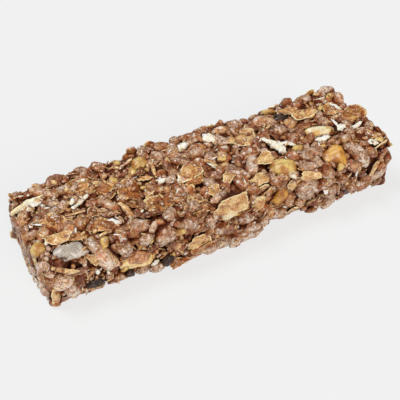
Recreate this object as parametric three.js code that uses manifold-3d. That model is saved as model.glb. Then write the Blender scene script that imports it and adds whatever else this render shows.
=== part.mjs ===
// A pressed granola bar: puffed cereal and rolled oats held together with chocolate syrup,
// with pieces of peanut, raisin and coconut set in its surface.
// Millimetres, +Z up. The bar lies along X on its flat underside, with its front, a long side, at -Y.
// The origin is at the middle of the underside.
import * as THREE from "three";
import { mergeVertices } from "three/addons/utils/BufferGeometryUtils.js";
import Module from "manifold-3d";

// The pressed block, without the pieces that stand out of it
const LENGTH = 121.4;
const WIDTH = 33.4;
const HEIGHT = 19.5;
const ROUNDING = new THREE.Vector3(2.6, 1.6, 1.4); // how far its edges are rounded along each axis

const GRID_STEP = 3.9; // spacing of the points of its surface, which stand for its finer grains
const GRID_RELIEF = 2.4; // from the gaps between those grains to their tops
const GRID_TOP = 0.9; // how far their tops stand out of the skin
const GRID_JITTER = 0.55; // how far the points wander along the surface, as a share of their spacing

const POCKET_GAP = 0.4; // clear space between a set-in piece and its pocket
const CUT_DEPTH = 60; // thickness of the block that cuts the underside flat
const FINEST = 0.15; // edges finer than this are smoothed away

// The middling piece of each kind that is spread over the bar: its size, how much it tips, and which share
// it has of the height that a crisp stands out
const KINDS = {
  crisp: { size: [6.2, 4.4, 4], share: 1, tilt: 30 },
  flake: { size: [8, 6.2, 1.6], share: 0.72, tilt: 26 },
  shred: { size: [8, 1.6, 1.3], share: 0.75, tilt: 20 },
};

// For each side: how many pieces are spread over it, which shares of them are crisps and flakes, with shreds
// as the rest, and how far a crisp stands out
const SIDES = {
  top: { pieces: 66, crisps: 0.5, flakes: 0.38, proud: 1.2 },
  front: { pieces: 44, crisps: 0.72, flakes: 0.2, proud: 1.4 },
  back: { pieces: 44, crisps: 0.68, flakes: 0.24, proud: 1.2 },
  left: { pieces: 12, crisps: 0.66, flakes: 0.26, proud: 1.1 },
  right: { pieces: 12, crisps: 0.66, flakes: 0.26, proud: 1.1 },
};

// Irrational steps: multiples of one, taken without their whole part, spread evenly between 0 and 1
const STEP = {
  along: 0.7548776662,
  across: 0.5698402909,
  kind: 0.4142135624,
  size: 0.7320508076,
  turn: 0.2360679775,
  tilt: 0.6457513111,
};

// Swellings of the long sides: where along the bar, over what length, and how far out
const FRONT_SWELLINGS = [
  { at: -56, over: 6, by: 0.6 },
  { at: -43, over: 5, by: 0.4 },
  { at: -18.5, over: 5, by: 2.2 },
  { at: -6, over: 8, by: 1.6 },
  { at: 8, over: 4.5, by: 1.6 },
  { at: 22, over: 6, by: -2 },
  { at: 36, over: 5, by: 1.3 },
  { at: 44, over: 4, by: 0.4 },
  { at: 52, over: 6, by: -1.6 },
];
const BACK_SWELLINGS = [
  { at: -58, over: 4, by: -1.2 },
  { at: -50, over: 2.5, by: -1.8 },
  { at: -45, over: 5, by: 0.9 },
  { at: -36, over: 5, by: 0.9 },
  { at: -22, over: 3, by: -1.9 },
  { at: -12, over: 5, by: 2.1 },
  { at: -2, over: 3, by: -1 },
  { at: 15, over: 6, by: 0.9 },
  { at: 22, over: 3, by: -1.6 },
  { at: 37, over: 5, by: 1.5 },
  { at: 48, over: 4, by: 1 },
];

// A piece of the pattern. On top, at is x and y. On a long side it is x and z, and on an end it is y and z.
// Size is the length, width and height, turn is in the surface, and proud is how far the piece stands out
// of the skin.
const piece = (form, side, at, size, turn, proud) => ({ form, side, at, size, turn, proud });

// Pieces as large as a berry, which lie in pockets
const INCLUSIONS = {
  peanut_half: piece("peanut", "top", [23.6, -10.6], [9.6, 7.6, 6.4], -20, 2),
  peanut_cone: piece("chunk", "top", [41.3, -13.2], [8.6, 8, 6.4], 75, 1.9),
  peanut_split: piece("peanut", "top", [42.5, -1.1], [11, 5, 4.4], -16, 1.1),
  peanut_skin: piece("chunk", "front", [-30.4, 7.2], [12, 8.4, 5.4], -6, 1.7),
  peanut_front: piece("chunk", "front", [20.5, 10.4], [7.2, 6.4, 5], 24, 1.9),
  peanut_pale: piece("peanut", "front", [0.8, 14], [6.4, 4.6, 4.4], 15, 1.6),
  peanut_corner: piece("peanut", "top", [-59.2, -9.6], [5, 4.8, 4.8], 20, 1.6),
  peanut_edge: piece("peanut", "top", [-17.3, 11.2], [6.2, 5, 4.8], 0, 1.3),
  peanut_rear: piece("peanut", "back", [-23, 9], [9.6, 7.2, 5.6], 20, 1.5),
  chunk_rear: piece("chunk", "back", [31, 8], [8, 6.6, 5], -35, 1.5),
  peanut_right: piece("peanut", "right", [3, 9], [8, 6.4, 5], 35, 1.2),
  coconut_chunk: piece("coconut", "top", [-50.5, -14.2], [11, 5.4, 4.6], -10, 1.2),
  coconut_curl: piece("coconut", "top", [-55.7, 9.4], [12.6, 2.6, 2.8], 11, 0.9),
  coconut_strip: piece("coconut", "top", [26, -1.6], [9.4, 3.4, 2.6], -70, 0.9),
  coconut_rear: piece("coconut", "back", [-45, 9], [9, 3.6, 3], 25, 1.1),
  raisin_back: piece("raisin", "top", [34.7, 11.3], [6.6, 4.8, 4.2], -12, 0.7),
  raisin_low: piece("raisin", "front", [-44.6, 3.8], [6.4, 4.2, 3.8], 10, 0.9),
  raisin_front: piece("raisin", "front", [-21, 4], [5.4, 4.6, 4], 40, 1.2),
  raisin_rear: piece("raisin", "back", [6, 10.5], [6.4, 4.8, 4.2], -15, 0.9),
};

// The crisps, flakes and shreds that stand out in the bar's pattern
const LARGE_PIECES = [
  piece("puff", "front", [-40.8, 12.8], [13.4, 6, 6], -62, 1.9),
  piece("puff", "front", [-55, 10], [7, 6, 5.4], -20, 1.7),
  piece("puff", "front", [-34.6, 14.4], [5.8, 5.4, 5], 0, 1.7),
  piece("puff", "front", [-33.5, 2.7], [3, 3, 3], 0, 1.2),
  piece("puff", "front", [-21.4, 15.5], [7, 6.2, 5.6], 35, 1.7),
  piece("puff", "front", [-13.2, 16.8], [5.6, 4.8, 4.8], -25, 1.7),
  piece("puff", "front", [-5.8, 14.9], [4.6, 4.4, 4.2], 0, 1.6),
  piece("puff", "front", [-2.9, 8.9], [5.4, 4.4, 4.4], 70, 1.6),
  piece("puff", "front", [6.3, 3.2], [7.6, 5, 5.6], -10, 2.6),
  piece("puff", "front", [6.3, 10.2], [5.4, 5, 4.6], 40, 1.6),
  piece("puff", "front", [29.7, 12.4], [8.6, 8, 6.4], -10, 2),
  piece("puff", "front", [36.1, 17.8], [4.8, 4.6, 4.4], -10, 1.6),
  piece("puff", "front", [38.2, 7.9], [5.4, 5, 4.6], 55, 1.6),
  piece("puff", "front", [11.2, 13.7], [5.2, 4.6, 4.4], 74, 1.6),
  piece("puff", "top", [48.1, -14.8], [10, 4.8, 5], -80, 1.5),
  piece("puff", "top", [47.9, -8.8], [5, 4, 4], -17, 1.2),
  piece("puff", "top", [14.6, -6.4], [9.4, 4.2, 4.6], 60, 1.4),
  piece("puff", "top", [8.3, -6.1], [7.6, 4, 4], -45, 1.1),
  piece("puff", "top", [31.1, -13.9], [6, 4, 4], -17, 1.2),
  piece("puff", "top", [36.6, -9], [5.8, 3.8, 4], -16, 1.2),
  piece("puff", "top", [28.4, 11.9], [9.6, 4.8, 4.6], -5, 1.3),
  piece("puff", "top", [31.2, 4.8], [5.2, 4.6, 4.4], -30, 1.2),
  piece("puff", "top", [-10, -14.6], [5.2, 4.6, 4.4], 0, 1.2),
  piece("puff", "top", [-18.2, -14.1], [5, 4.4, 4.4], 0, 1.2),
  piece("puff", "top", [-33.4, -0.8], [9, 3.8, 3.8], -62, 0.9),
  piece("puff", "top", [-28.6, -13.7], [7, 5, 4.8], -18, 1.2),
  piece("puff", "top", [-10.5, 11.2], [5, 4.8, 4.6], 0, 1.3),
  piece("puff", "top", [7.7, 10.5], [4.6, 4.4, 4.2], 0, 1.1),
  piece("flake", "front", [2.4, 18.2], [10.4, 7.6, 1.8], -6, 1.3),
  piece("flake", "top", [-4.6, -0.5], [9, 6.4, 1.8], 28, 1),
  piece("flake", "top", [19.4, -5.8], [6.6, 5, 1.7], 20, 1.2),
  piece("flake", "top", [-52.5, -8.5], [8.4, 4.4, 1.7], -9, 0.9),
  piece("flake", "top", [42.2, 9.1], [9, 5, 1.6], -13, 0.9),
  piece("flake", "front", [-9.9, 6.9], [8, 6, 1.7], -10, 1.1),
  piece("shred", "top", [-28.9, -6.5], [7.4, 2.6, 2], -80, 0.9),
  piece("shred", "top", [-14.6, 5.7], [7, 1.6, 1.4], 77, 0.9),
  piece("shred", "top", [54.5, -4.8], [4.6, 1.8, 1.4], 5, 0.9),
];

const COLOURS = { bar: 0x8c5f45, peanut: 0xd9a84e, chunk: 0xcf9a48, raisin: 0x2b1c1a, coconut: 0xe8dfce };

const fraction = (value) => value - Math.floor(value);
const spread = (count, step) => fraction(0.5 + count * step);
const radians = (degrees) => (degrees * Math.PI) / 180;
const swelling = (rows, x) =>
  rows.reduce((sum, { at, over, by }) => sum + by * Math.exp(-(((x - at) / over) ** 2)), 0);

// The skin of the block at a point of the sharp box round it: the box's edges rounded, then its sides swollen
// and sunk, its top made wavy, its left end undercut and the far corner of its right end worn away.
// It gives the point and the outward direction there.
function skin([boxX, boxY, boxZ]) {
  const half = new THREE.Vector3(LENGTH / 2, WIDTH / 2, HEIGHT / 2);
  const reach = half.clone().sub(ROUNDING);
  const box = new THREE.Vector3(boxX, boxY, boxZ - half.z);
  const inner = box.clone().clamp(reach.clone().negate(), reach);
  const outward = box.sub(inner).divide(ROUNDING).normalize();
  const point = outward.clone().multiply(ROUNDING).add(inner);
  point.z += half.z;
  const { x, y, z } = point;
  point.y += 0.3 + 0.3 * Math.sin(x / 21 + 0.8);
  point.y -= Math.max(-outward.y, 0) * swelling(FRONT_SWELLINGS, x);
  point.y += Math.max(outward.y, 0) * swelling(BACK_SWELLINGS, x);
  point.z *= 1 + 0.022 * Math.sin(x / 8.5 + 1) + 0.02 * Math.sin(y / 5 + x / 14);
  const worn = 1.6 + 1.6 * Math.tanh((y - 2) / 1.5);
  point.x += Math.max(outward.x, 0) * (1.1 * Math.exp(-(((y + 9) / 7) ** 2)) - worn);
  const leaning = 1.3 * (1 - z / HEIGHT) - 0.5 * Math.sin(y / 5 + 1);
  point.x += Math.max(-outward.x, 0) * (leaning - 0.8 * Math.exp(-(((y + 5) / 9) ** 2)));
  return { point, outward };
}

// Where a place on a side lies on the sharp box
const ON_BOX = {
  top: ([a, b]) => [a, b, HEIGHT],
  front: ([a, b]) => [a, -WIDTH / 2, b],
  back: ([a, b]) => [a, WIDTH / 2, b],
  left: ([a, b]) => [-LENGTH / 2, a, b],
  right: ([a, b]) => [LENGTH / 2, a, b],
};
const placeOf = ({ side, at }) => skin(ON_BOX[side](at));

// The matrix that sets a form of unit radius on the skin: its length turned in the surface, its width tipped
// by tilt, and its highest part proud of the surface. Growth makes it larger all round.
function seat(row, growth = 0) {
  const { side, size, turn, proud, tilt = 0 } = row;
  const { point, outward } = placeOf(row);
  const level = side === "left" || side === "right" ? [0, 1, 0] : [1, 0, 0];
  const along = new THREE.Vector3(...level).projectOnPlane(outward).normalize();
  along.applyAxisAngle(outward, radians(turn));
  const up = outward.clone().applyAxisAngle(along, radians(tilt));
  const across = up.clone().cross(along);
  const middle = point.addScaledVector(outward, proud - size[2] / 2);
  const scale = new THREE.Matrix4().makeScale(...size.map((s) => s / 2 + growth));
  return new THREE.Matrix4().makeBasis(along, across, up).setPosition(middle).multiply(scale);
}

// A round form of unit radius with each of its points moved by reshape
function moulded(form, reshape) {
  const geometry = form.rotateX(Math.PI / 2);
  const position = geometry.getAttribute("position");
  const p = new THREE.Vector3();
  for (let i = 0; i < position.count; i++) {
    p.fromBufferAttribute(position, i);
    reshape(p);
    position.setXYZ(i, p.x, p.y, p.z);
  }
  return geometry;
}

// The radius of a lumpy form in a direction
function lumps({ x, y, z }, seed, amount) {
  const wave = Math.sin(3.1 * x + 1.3 * seed) * Math.sin(2.7 * y + 2.1 * seed);
  return 1 + amount * (wave + 0.5 * Math.sin(4.6 * z + seed));
}

// The radius of a broken form in a direction: a rounded polyhedron of seven flat breaks
function breaks(direction, seed) {
  const sharpness = 9;
  const faces = 7;
  let sum = 0;
  for (let k = 0; k < faces; k++) {
    const height = 1 - (2 * k + 1) / faces;
    const ring = Math.sqrt(1 - height * height);
    const angle = 2.4 * k + seed;
    const face = new THREE.Vector3(ring * Math.cos(angle), ring * Math.sin(angle), height);
    const distance = 0.66 + 0.26 * spread(k + 1, STEP.size);
    sum += (Math.max(face.dot(direction), 0) / distance) ** sharpness;
  }
  return Math.min(1.1, sum ** (-1 / sharpness));
}

// A ragged flake, bent like a saddle
function bendFlake(p, seed) {
  const ragged = 1 + 0.1 * Math.sin(3 * Math.atan2(p.y, p.x) + seed);
  p.set(p.x * ragged, p.y * ragged, 0.75 * p.z + 0.4 * (p.x * p.x - p.y * p.y) * Math.cos(seed));
}

// Each form lies within about unit radius, and seed makes its copies differ
const SEGMENTS = { puff: [6, 4], flake: [7, 3], shred: [5, 3], large: [8, 6] };
const round = (name) => new THREE.SphereGeometry(1, ...SEGMENTS[name]);
const FORMS = {
  crisp: (seed) => moulded(new THREE.IcosahedronGeometry(1), (p) => p.multiplyScalar(lumps(p, seed, 0.12))),
  puff: (seed) => moulded(round("puff"), (p) => p.multiplyScalar(lumps(p, seed, 0.1))),
  flake: (seed) => moulded(round("flake"), (p) => bendFlake(p, seed)),
  shred: (seed) => moulded(round("shred"), (p) => p.setY(p.y + 0.6 * p.x * p.x * Math.cos(seed))),
  peanut: (seed) => moulded(round("large"), (p) => p.multiplyScalar(lumps(p, seed, 0.05))),
  raisin: (seed) => moulded(round("large"), (p) => p.multiplyScalar(lumps(p, 3 * seed, 0.12))),
  chunk: (seed) => moulded(round("large"), (p) => p.multiplyScalar(breaks(p, seed))),
  coconut: (seed) => moulded(round("large"), (p) => p.multiplyScalar(breaks(p, seed))),
};

const wasm = await Module();
wasm.setup();

function solidOf(geometry) {
  const bare = new THREE.BufferGeometry().setAttribute("position", geometry.getAttribute("position"));
  const merged = mergeVertices(bare.setIndex(geometry.getIndex()), 1e-4);
  const vertProperties = merged.getAttribute("position").array;
  const triVerts = new Uint32Array(merged.getIndex().array);
  return new wasm.Manifold(new wasm.Mesh({ numProp: 3, vertProperties, triVerts }));
}

function geometryOf(solid) {
  const { vertProperties, triVerts } = solid.getMesh();
  const geometry = new THREE.BufferGeometry();
  geometry.setAttribute("position", new THREE.BufferAttribute(vertProperties, 3));
  geometry.setIndex(new THREE.BufferAttribute(triVerts, 1));
  return geometry;
}

const shapeOf = (row, growth = 0) => FORMS[row.form](row.seed).applyMatrix4(seat(row, growth));

// The bare block: a box whose points wander along it and then move to the skin, in or out by the relief
// of the finer grains. The points underneath stay level.
function block() {
  const sizes = [LENGTH, WIDTH, HEIGHT];
  const counts = sizes.map((size) => Math.round(size / GRID_STEP));
  const geometry = new THREE.BoxGeometry(...sizes, ...counts);
  const position = geometry.getAttribute("position");
  for (let i = 0; i < position.count; i++) {
    const at = [position.getX(i), position.getY(i), position.getZ(i)];
    const index = at.map((value, axis) => Math.round((value / sizes[axis] + 0.5) * counts[axis]));
    const lot = 2.7 * index[0] + 4.1 * index[1] + 5.3 * index[2];
    const chance = (channel) => fraction(57 * Math.sin(lot + channel));
    const wandered = at.map((value, axis) => {
      const inside = index[axis] > 0 && index[axis] < counts[axis];
      return inside ? value + GRID_STEP * GRID_JITTER * (chance(axis) - 0.5) : value;
    });
    wandered[2] += HEIGHT / 2;
    const { point, outward } = skin(wandered);
    point.addScaledVector(outward, GRID_TOP - GRID_RELIEF * chance(3));
    const underneath = index[2] === 0 && outward.z < -0.9;
    position.setXYZ(i, point.x, point.y, underneath ? -1 : point.z);
  }
  return solidOf(geometry);
}

// The pieces that the steps spread over a side, without any that would cross a larger piece
function spreadOver(side, larger) {
  const rule = SIDES[side];
  const atEnd = side === "left" || side === "right";
  const start = [atEnd ? -WIDTH / 2 : -LENGTH / 2, side === "top" ? -WIDTH / 2 : 0];
  const span = [atEnd ? WIDTH : LENGTH, side === "top" ? WIDTH : HEIGHT];
  const found = [];
  for (let n = 1; n <= rule.pieces; n++) {
    const kind = spread(n, STEP.kind);
    const form = kind < rule.crisps ? "crisp" : kind < rule.crisps + rule.flakes ? "flake" : "shred";
    const norm = KINDS[form];
    const size = norm.size.map((s) => s * (0.76 + 0.46 * spread(n, STEP.size)));
    const share = [spread(n, STEP.along), spread(n, STEP.across)];
    const margin = 0.36 * size[0];
    const made = {
      form,
      side,
      at: share.map((s, axis) => start[axis] + margin + (span[axis] - 2 * margin) * s),
      size,
      turn: 360 * spread(n, STEP.turn),
      tilt: norm.tilt * (spread(n, STEP.tilt) - 0.5),
      proud: rule.proud * norm.share * (0.7 + 0.6 * spread(n, STEP.tilt)),
      seed: n,
    };
    const { point } = placeOf(made);
    const crossed = larger.some((other) => {
      const room = 0.24 * (other.size[0] + other.size[1] + 1.5 * size[1]);
      return placeOf(other).point.distanceTo(point) < room;
    });
    if (!crossed) found.push(made);
  }
  return found;
}

// The heap of grains as one solid: the block with its pieces fused on, cut flat underneath, with pockets
// for the set-in pieces
function heap(fused, inclusions) {
  const cutter = new THREE.BoxGeometry(2 * LENGTH, 2 * LENGTH, CUT_DEPTH).translate(0, 0, -CUT_DEPTH / 2);
  const joined = wasm.Manifold.union([block(), ...fused.map((row) => solidOf(shapeOf(row)))]);
  const pockets = wasm.Manifold.union(inclusions.map((row) => solidOf(shapeOf(row, POCKET_GAP))));
  const bodies = joined.subtract(solidOf(cutter)).simplify(FINEST).subtract(pockets).decompose();
  return bodies.reduce((largest, body) => (body.volume() > largest.volume() ? body : largest));
}

const granolaBar = new THREE.Group();
granolaBar.name = "granola_bar";

function addNode(name, geometry, color, roughness) {
  const mesh = new THREE.Mesh(geometry, new THREE.MeshStandardMaterial({ color, roughness, metalness: 0 }));
  mesh.name = name;
  granolaBar.add(mesh);
}

const inclusions = Object.entries(INCLUSIONS).map(([name, piece], n) => ({ ...piece, name, seed: n + 1 }));
const largePieces = LARGE_PIECES.map((piece, n) => ({ ...piece, seed: n + 1 }));
const smallPieces = Object.keys(SIDES).flatMap((side) => spreadOver(side, [...inclusions, ...largePieces]));

addNode("bar", geometryOf(heap([...largePieces, ...smallPieces], inclusions)), COLOURS.bar, 0.5);
for (const piece of inclusions) {
  addNode(piece.name, shapeOf(piece), COLOURS[piece.form], 0.45);
}

export default granolaBar;
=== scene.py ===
"""A pressed granola bar: puffed cereal and rolled oats in chocolate syrup, with peanuts, raisins and coconut.

The sizes below are in millimetres, as the bar's maker would give them. Meshes are made in metres.
"""

import math

import bpy
import numpy as np
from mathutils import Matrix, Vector


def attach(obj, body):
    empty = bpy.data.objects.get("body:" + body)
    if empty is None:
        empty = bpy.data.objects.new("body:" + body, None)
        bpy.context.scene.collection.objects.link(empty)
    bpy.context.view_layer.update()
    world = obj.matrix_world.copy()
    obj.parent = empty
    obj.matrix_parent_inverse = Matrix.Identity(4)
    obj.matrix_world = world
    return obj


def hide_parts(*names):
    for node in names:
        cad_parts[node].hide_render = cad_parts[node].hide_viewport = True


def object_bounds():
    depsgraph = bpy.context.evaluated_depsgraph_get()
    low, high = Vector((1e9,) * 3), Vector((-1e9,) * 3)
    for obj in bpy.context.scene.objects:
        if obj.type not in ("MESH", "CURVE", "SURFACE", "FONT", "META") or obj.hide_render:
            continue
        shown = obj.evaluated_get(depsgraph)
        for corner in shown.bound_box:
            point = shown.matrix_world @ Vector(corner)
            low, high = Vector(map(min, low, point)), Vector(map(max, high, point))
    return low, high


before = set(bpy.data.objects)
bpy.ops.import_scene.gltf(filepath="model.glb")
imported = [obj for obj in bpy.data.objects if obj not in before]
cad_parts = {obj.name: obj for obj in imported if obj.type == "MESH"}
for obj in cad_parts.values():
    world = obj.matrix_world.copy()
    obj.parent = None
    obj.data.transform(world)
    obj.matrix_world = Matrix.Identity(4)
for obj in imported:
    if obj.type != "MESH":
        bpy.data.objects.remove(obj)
cad_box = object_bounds()
MM = 0.001
LOW = np.array(cad_box[0]) / MM
HIGH = np.array(cad_box[1]) / MM

# The pressed block, without the pieces that stand out of it
LENGTH, WIDTH, HEIGHT = 121.4, 33.4, 19.5
ROUNDING = np.array([2.6, 1.6, 1.4])
# Where each long side swells along the bar, over what length and by how much
FRONT_SWELLINGS = [
    (-56, 6, 0.6), (-43, 5, 0.4), (-18.5, 5, 2.2), (-6, 8, 1.6), (8, 4.5, 1.6), (22, 6, -2), (36, 5, 1.3),
    (44, 4, 0.4), (52, 6, -1.6),
]
BACK_SWELLINGS = [
    (-58, 4, -1.2), (-50, 2.5, -1.8), (-45, 5, 0.9), (-36, 5, 0.9), (-22, 3, -1.9), (-12, 5, 2.1),
    (-2, 3, -1), (15, 6, 0.9), (22, 3, -1.6), (37, 5, 1.5), (48, 4, 1),
]
SYRUP_DEPTH = {"top": 1.05, "sides": 1.7}  # how far below the skin the syrup lies between the pieces

# The middling piece of each kind spread over the bar: its size, its share of the height that a crisp stands
# out, and how much it tips
KINDS = {
    "crisp": ((6.2, 4.4, 4.0), 1.0, 30),
    "flake": ((8.0, 6.2, 1.6), 0.72, 26),
    "shred": ((8.0, 1.6, 1.3), 0.75, 20),
}
# For each side: pieces, the shares of crisps and flakes, and how far a crisp stands out
SIDES = {
    "top": (66, 0.5, 0.38, 1.2),
    "front": (44, 0.72, 0.2, 1.4),
    "back": (44, 0.68, 0.24, 1.2),
    "left": (12, 0.66, 0.26, 1.1),
    "right": (12, 0.66, 0.26, 1.1),
}
# The step of each even spread, an irrational number, so that no place comes twice
STEP = {
    "along": 0.7548776662,
    "across": 0.5698402909,
    "kind": 0.4142135624,
    "size": 0.7320508076,
    "turn": 0.2360679775,
    "tilt": 0.6457513111,
}

# The CAD nodes' pieces: form, side, place on it, size, turn and how far it stands out
INCLUSIONS = {
    "peanut_half": ("peanut", "top", (23.6, -10.6), (9.6, 7.6, 6.4), -20, 2.0),
    "peanut_cone": ("chunk", "top", (41.3, -13.2), (8.6, 8, 6.4), 75, 1.9),
    "peanut_split": ("peanut", "top", (42.5, -1.1), (11, 5, 4.4), -16, 1.1),
    "peanut_skin": ("chunk", "front", (-30.4, 7.2), (12, 8.4, 5.4), -6, 1.7),
    "peanut_front": ("chunk", "front", (20.5, 10.4), (7.2, 6.4, 5), 24, 1.9),
    "peanut_pale": ("peanut", "front", (0.8, 14), (6.4, 4.6, 4.4), 15, 1.6),
    "peanut_corner": ("peanut", "top", (-59.2, -9.6), (5, 4.8, 4.8), 20, 1.6),
    "peanut_edge": ("peanut", "top", (-17.3, 11.2), (6.2, 5, 4.8), 0, 1.3),
    "peanut_rear": ("peanut", "back", (-23, 9), (9.6, 7.2, 5.6), 20, 1.5),
    "chunk_rear": ("chunk", "back", (31, 8), (8, 6.6, 5), -35, 1.5),
    "peanut_right": ("peanut", "right", (3, 9), (8, 6.4, 5), 35, 1.2),
    "coconut_chunk": ("coconut", "top", (-50.5, -14.2), (11, 5.4, 4.6), -10, 1.2),
    "coconut_curl": ("coconut", "top", (-55.7, 9.4), (12.6, 2.6, 2.8), 11, 0.9),
    "coconut_strip": ("coconut", "top", (26, -1.6), (9.4, 3.4, 2.6), -70, 0.9),
    "coconut_rear": ("coconut", "back", (-45, 9), (9, 3.6, 3), 25, 1.1),
    "raisin_back": ("raisin", "top", (34.7, 11.3), (6.6, 4.8, 4.2), -12, 0.7),
    "raisin_low": ("raisin", "front", (-44.6, 3.8), (6.4, 4.2, 3.8), 10, 0.9),
    "raisin_front": ("raisin", "front", (-21, 4), (5.4, 4.6, 4), 40, 1.2),
    "raisin_rear": ("raisin", "back", (6, 10.5), (6.4, 4.8, 4.2), -15, 0.9),
}
# The crisps, flakes and shreds that stand out in the bar's pattern, in the same terms, with a word for their
# colour
LARGE_PIECES = [
    ("puff", "front", (-40.8, 12.8), (13.4, 6, 6), -62, 1.9, "pale"),
    ("puff", "front", (-55, 10), (7, 6, 5.4), -20, 1.7, "pale"),
    ("puff", "front", (-34.6, 14.4), (5.8, 5.4, 5), 0, 1.7, "brown"),
    ("puff", "front", (-33.5, 2.7), (3, 3, 3), 0, 1.2, "black"),
    ("puff", "front", (-21.4, 15.5), (7, 6.2, 5.6), 35, 1.7, "brown"),
    ("puff", "front", (-13.2, 16.8), (5.6, 4.8, 4.8), -25, 1.7, "brown"),
    ("puff", "front", (-5.8, 14.9), (4.6, 4.4, 4.2), 0, 1.6, "brown"),
    ("puff", "front", (-2.9, 8.9), (5.4, 4.4, 4.4), 70, 1.6, "brown"),
    ("puff", "front", (6.3, 3.2), (7.6, 5, 5.6), -10, 2.6, "brown"),
    ("puff", "front", (6.3, 10.2), (5.4, 5, 4.6), 40, 1.6, "brown"),
    ("puff", "front", (29.7, 12.4), (8.6, 8, 6.4), -10, 2, "brown"),
    ("puff", "front", (36.1, 17.8), (4.8, 4.6, 4.4), -10, 1.6, "brown"),
    ("puff", "front", (38.2, 7.9), (5.4, 5, 4.6), 55, 1.6, "brown"),
    ("puff", "front", (11.2, 13.7), (5.2, 4.6, 4.4), 74, 1.6, "golden"),
    ("puff", "top", (48.1, -14.8), (10, 4.8, 5), -80, 1.5, "brown"),
    ("puff", "top", (47.9, -8.8), (5, 4, 4), -17, 1.2, "tan"),
    ("puff", "top", (14.6, -6.4), (9.4, 4.2, 4.6), 60, 1.4, "tan"),
    ("puff", "top", (8.3, -6.1), (7.6, 4, 4), -45, 1.1, "brown"),
    ("puff", "top", (31.1, -13.9), (6, 4, 4), -17, 1.2, "brown"),
    ("puff", "top", (36.6, -9), (5.8, 3.8, 4), -16, 1.2, "brown"),
    ("puff", "top", (28.4, 11.9), (9.6, 4.8, 4.6), -5, 1.3, "tan"),
    ("puff", "top", (31.2, 4.8), (5.2, 4.6, 4.4), -30, 1.2, "brown"),
    ("puff", "top", (-10, -14.6), (5.2, 4.6, 4.4), 0, 1.2, "brown"),
    ("puff", "top", (-18.2, -14.1), (5, 4.4, 4.4), 0, 1.2, "brown"),
    ("puff", "top", (-33.4, -0.8), (9, 3.8, 3.8), -62, 0.9, "tan"),
    ("puff", "top", (-28.6, -13.7), (7, 5, 4.8), -18, 1.2, "brown"),
    ("puff", "top", (-10.5, 11.2), (5, 4.8, 4.6), 0, 1.3, "brown"),
    ("husk", "top", (7.7, 10.5), (4.8, 4.4, 2.6), 0, 1.1, "white"),
    ("flake", "front", (2.4, 18.2), (10.4, 7.6, 1.8), -6, 1.3, "golden"),
    ("flake", "top", (-4.6, -0.5), (9, 6.4, 1.8), 28, 1, "golden"),
    ("flake", "top", (19.4, -5.8), (6.6, 5, 1.7), 20, 1.2, "golden"),
    ("flake", "top", (-52.5, -8.5), (8.4, 4.4, 1.7), -9, 0.9, "golden"),
    ("flake", "top", (42.2, 9.1), (9, 5, 1.6), -13, 0.9, "golden"),
    ("flake", "front", (-9.9, 6.9), (8, 6, 1.7), -10, 1.1, "golden"),
    ("shred", "top", (-28.9, -6.5), (7.4, 2.6, 2), -80, 0.9, "golden"),
    ("sliver", "top", (-14.6, 5.7), (7.4, 1.5, 1.2), 77, 0.9, "golden"),
    ("shred", "top", (54.5, -4.8), (4.6, 1.8, 1.4), 5, 0.9, "white"),
]

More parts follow.
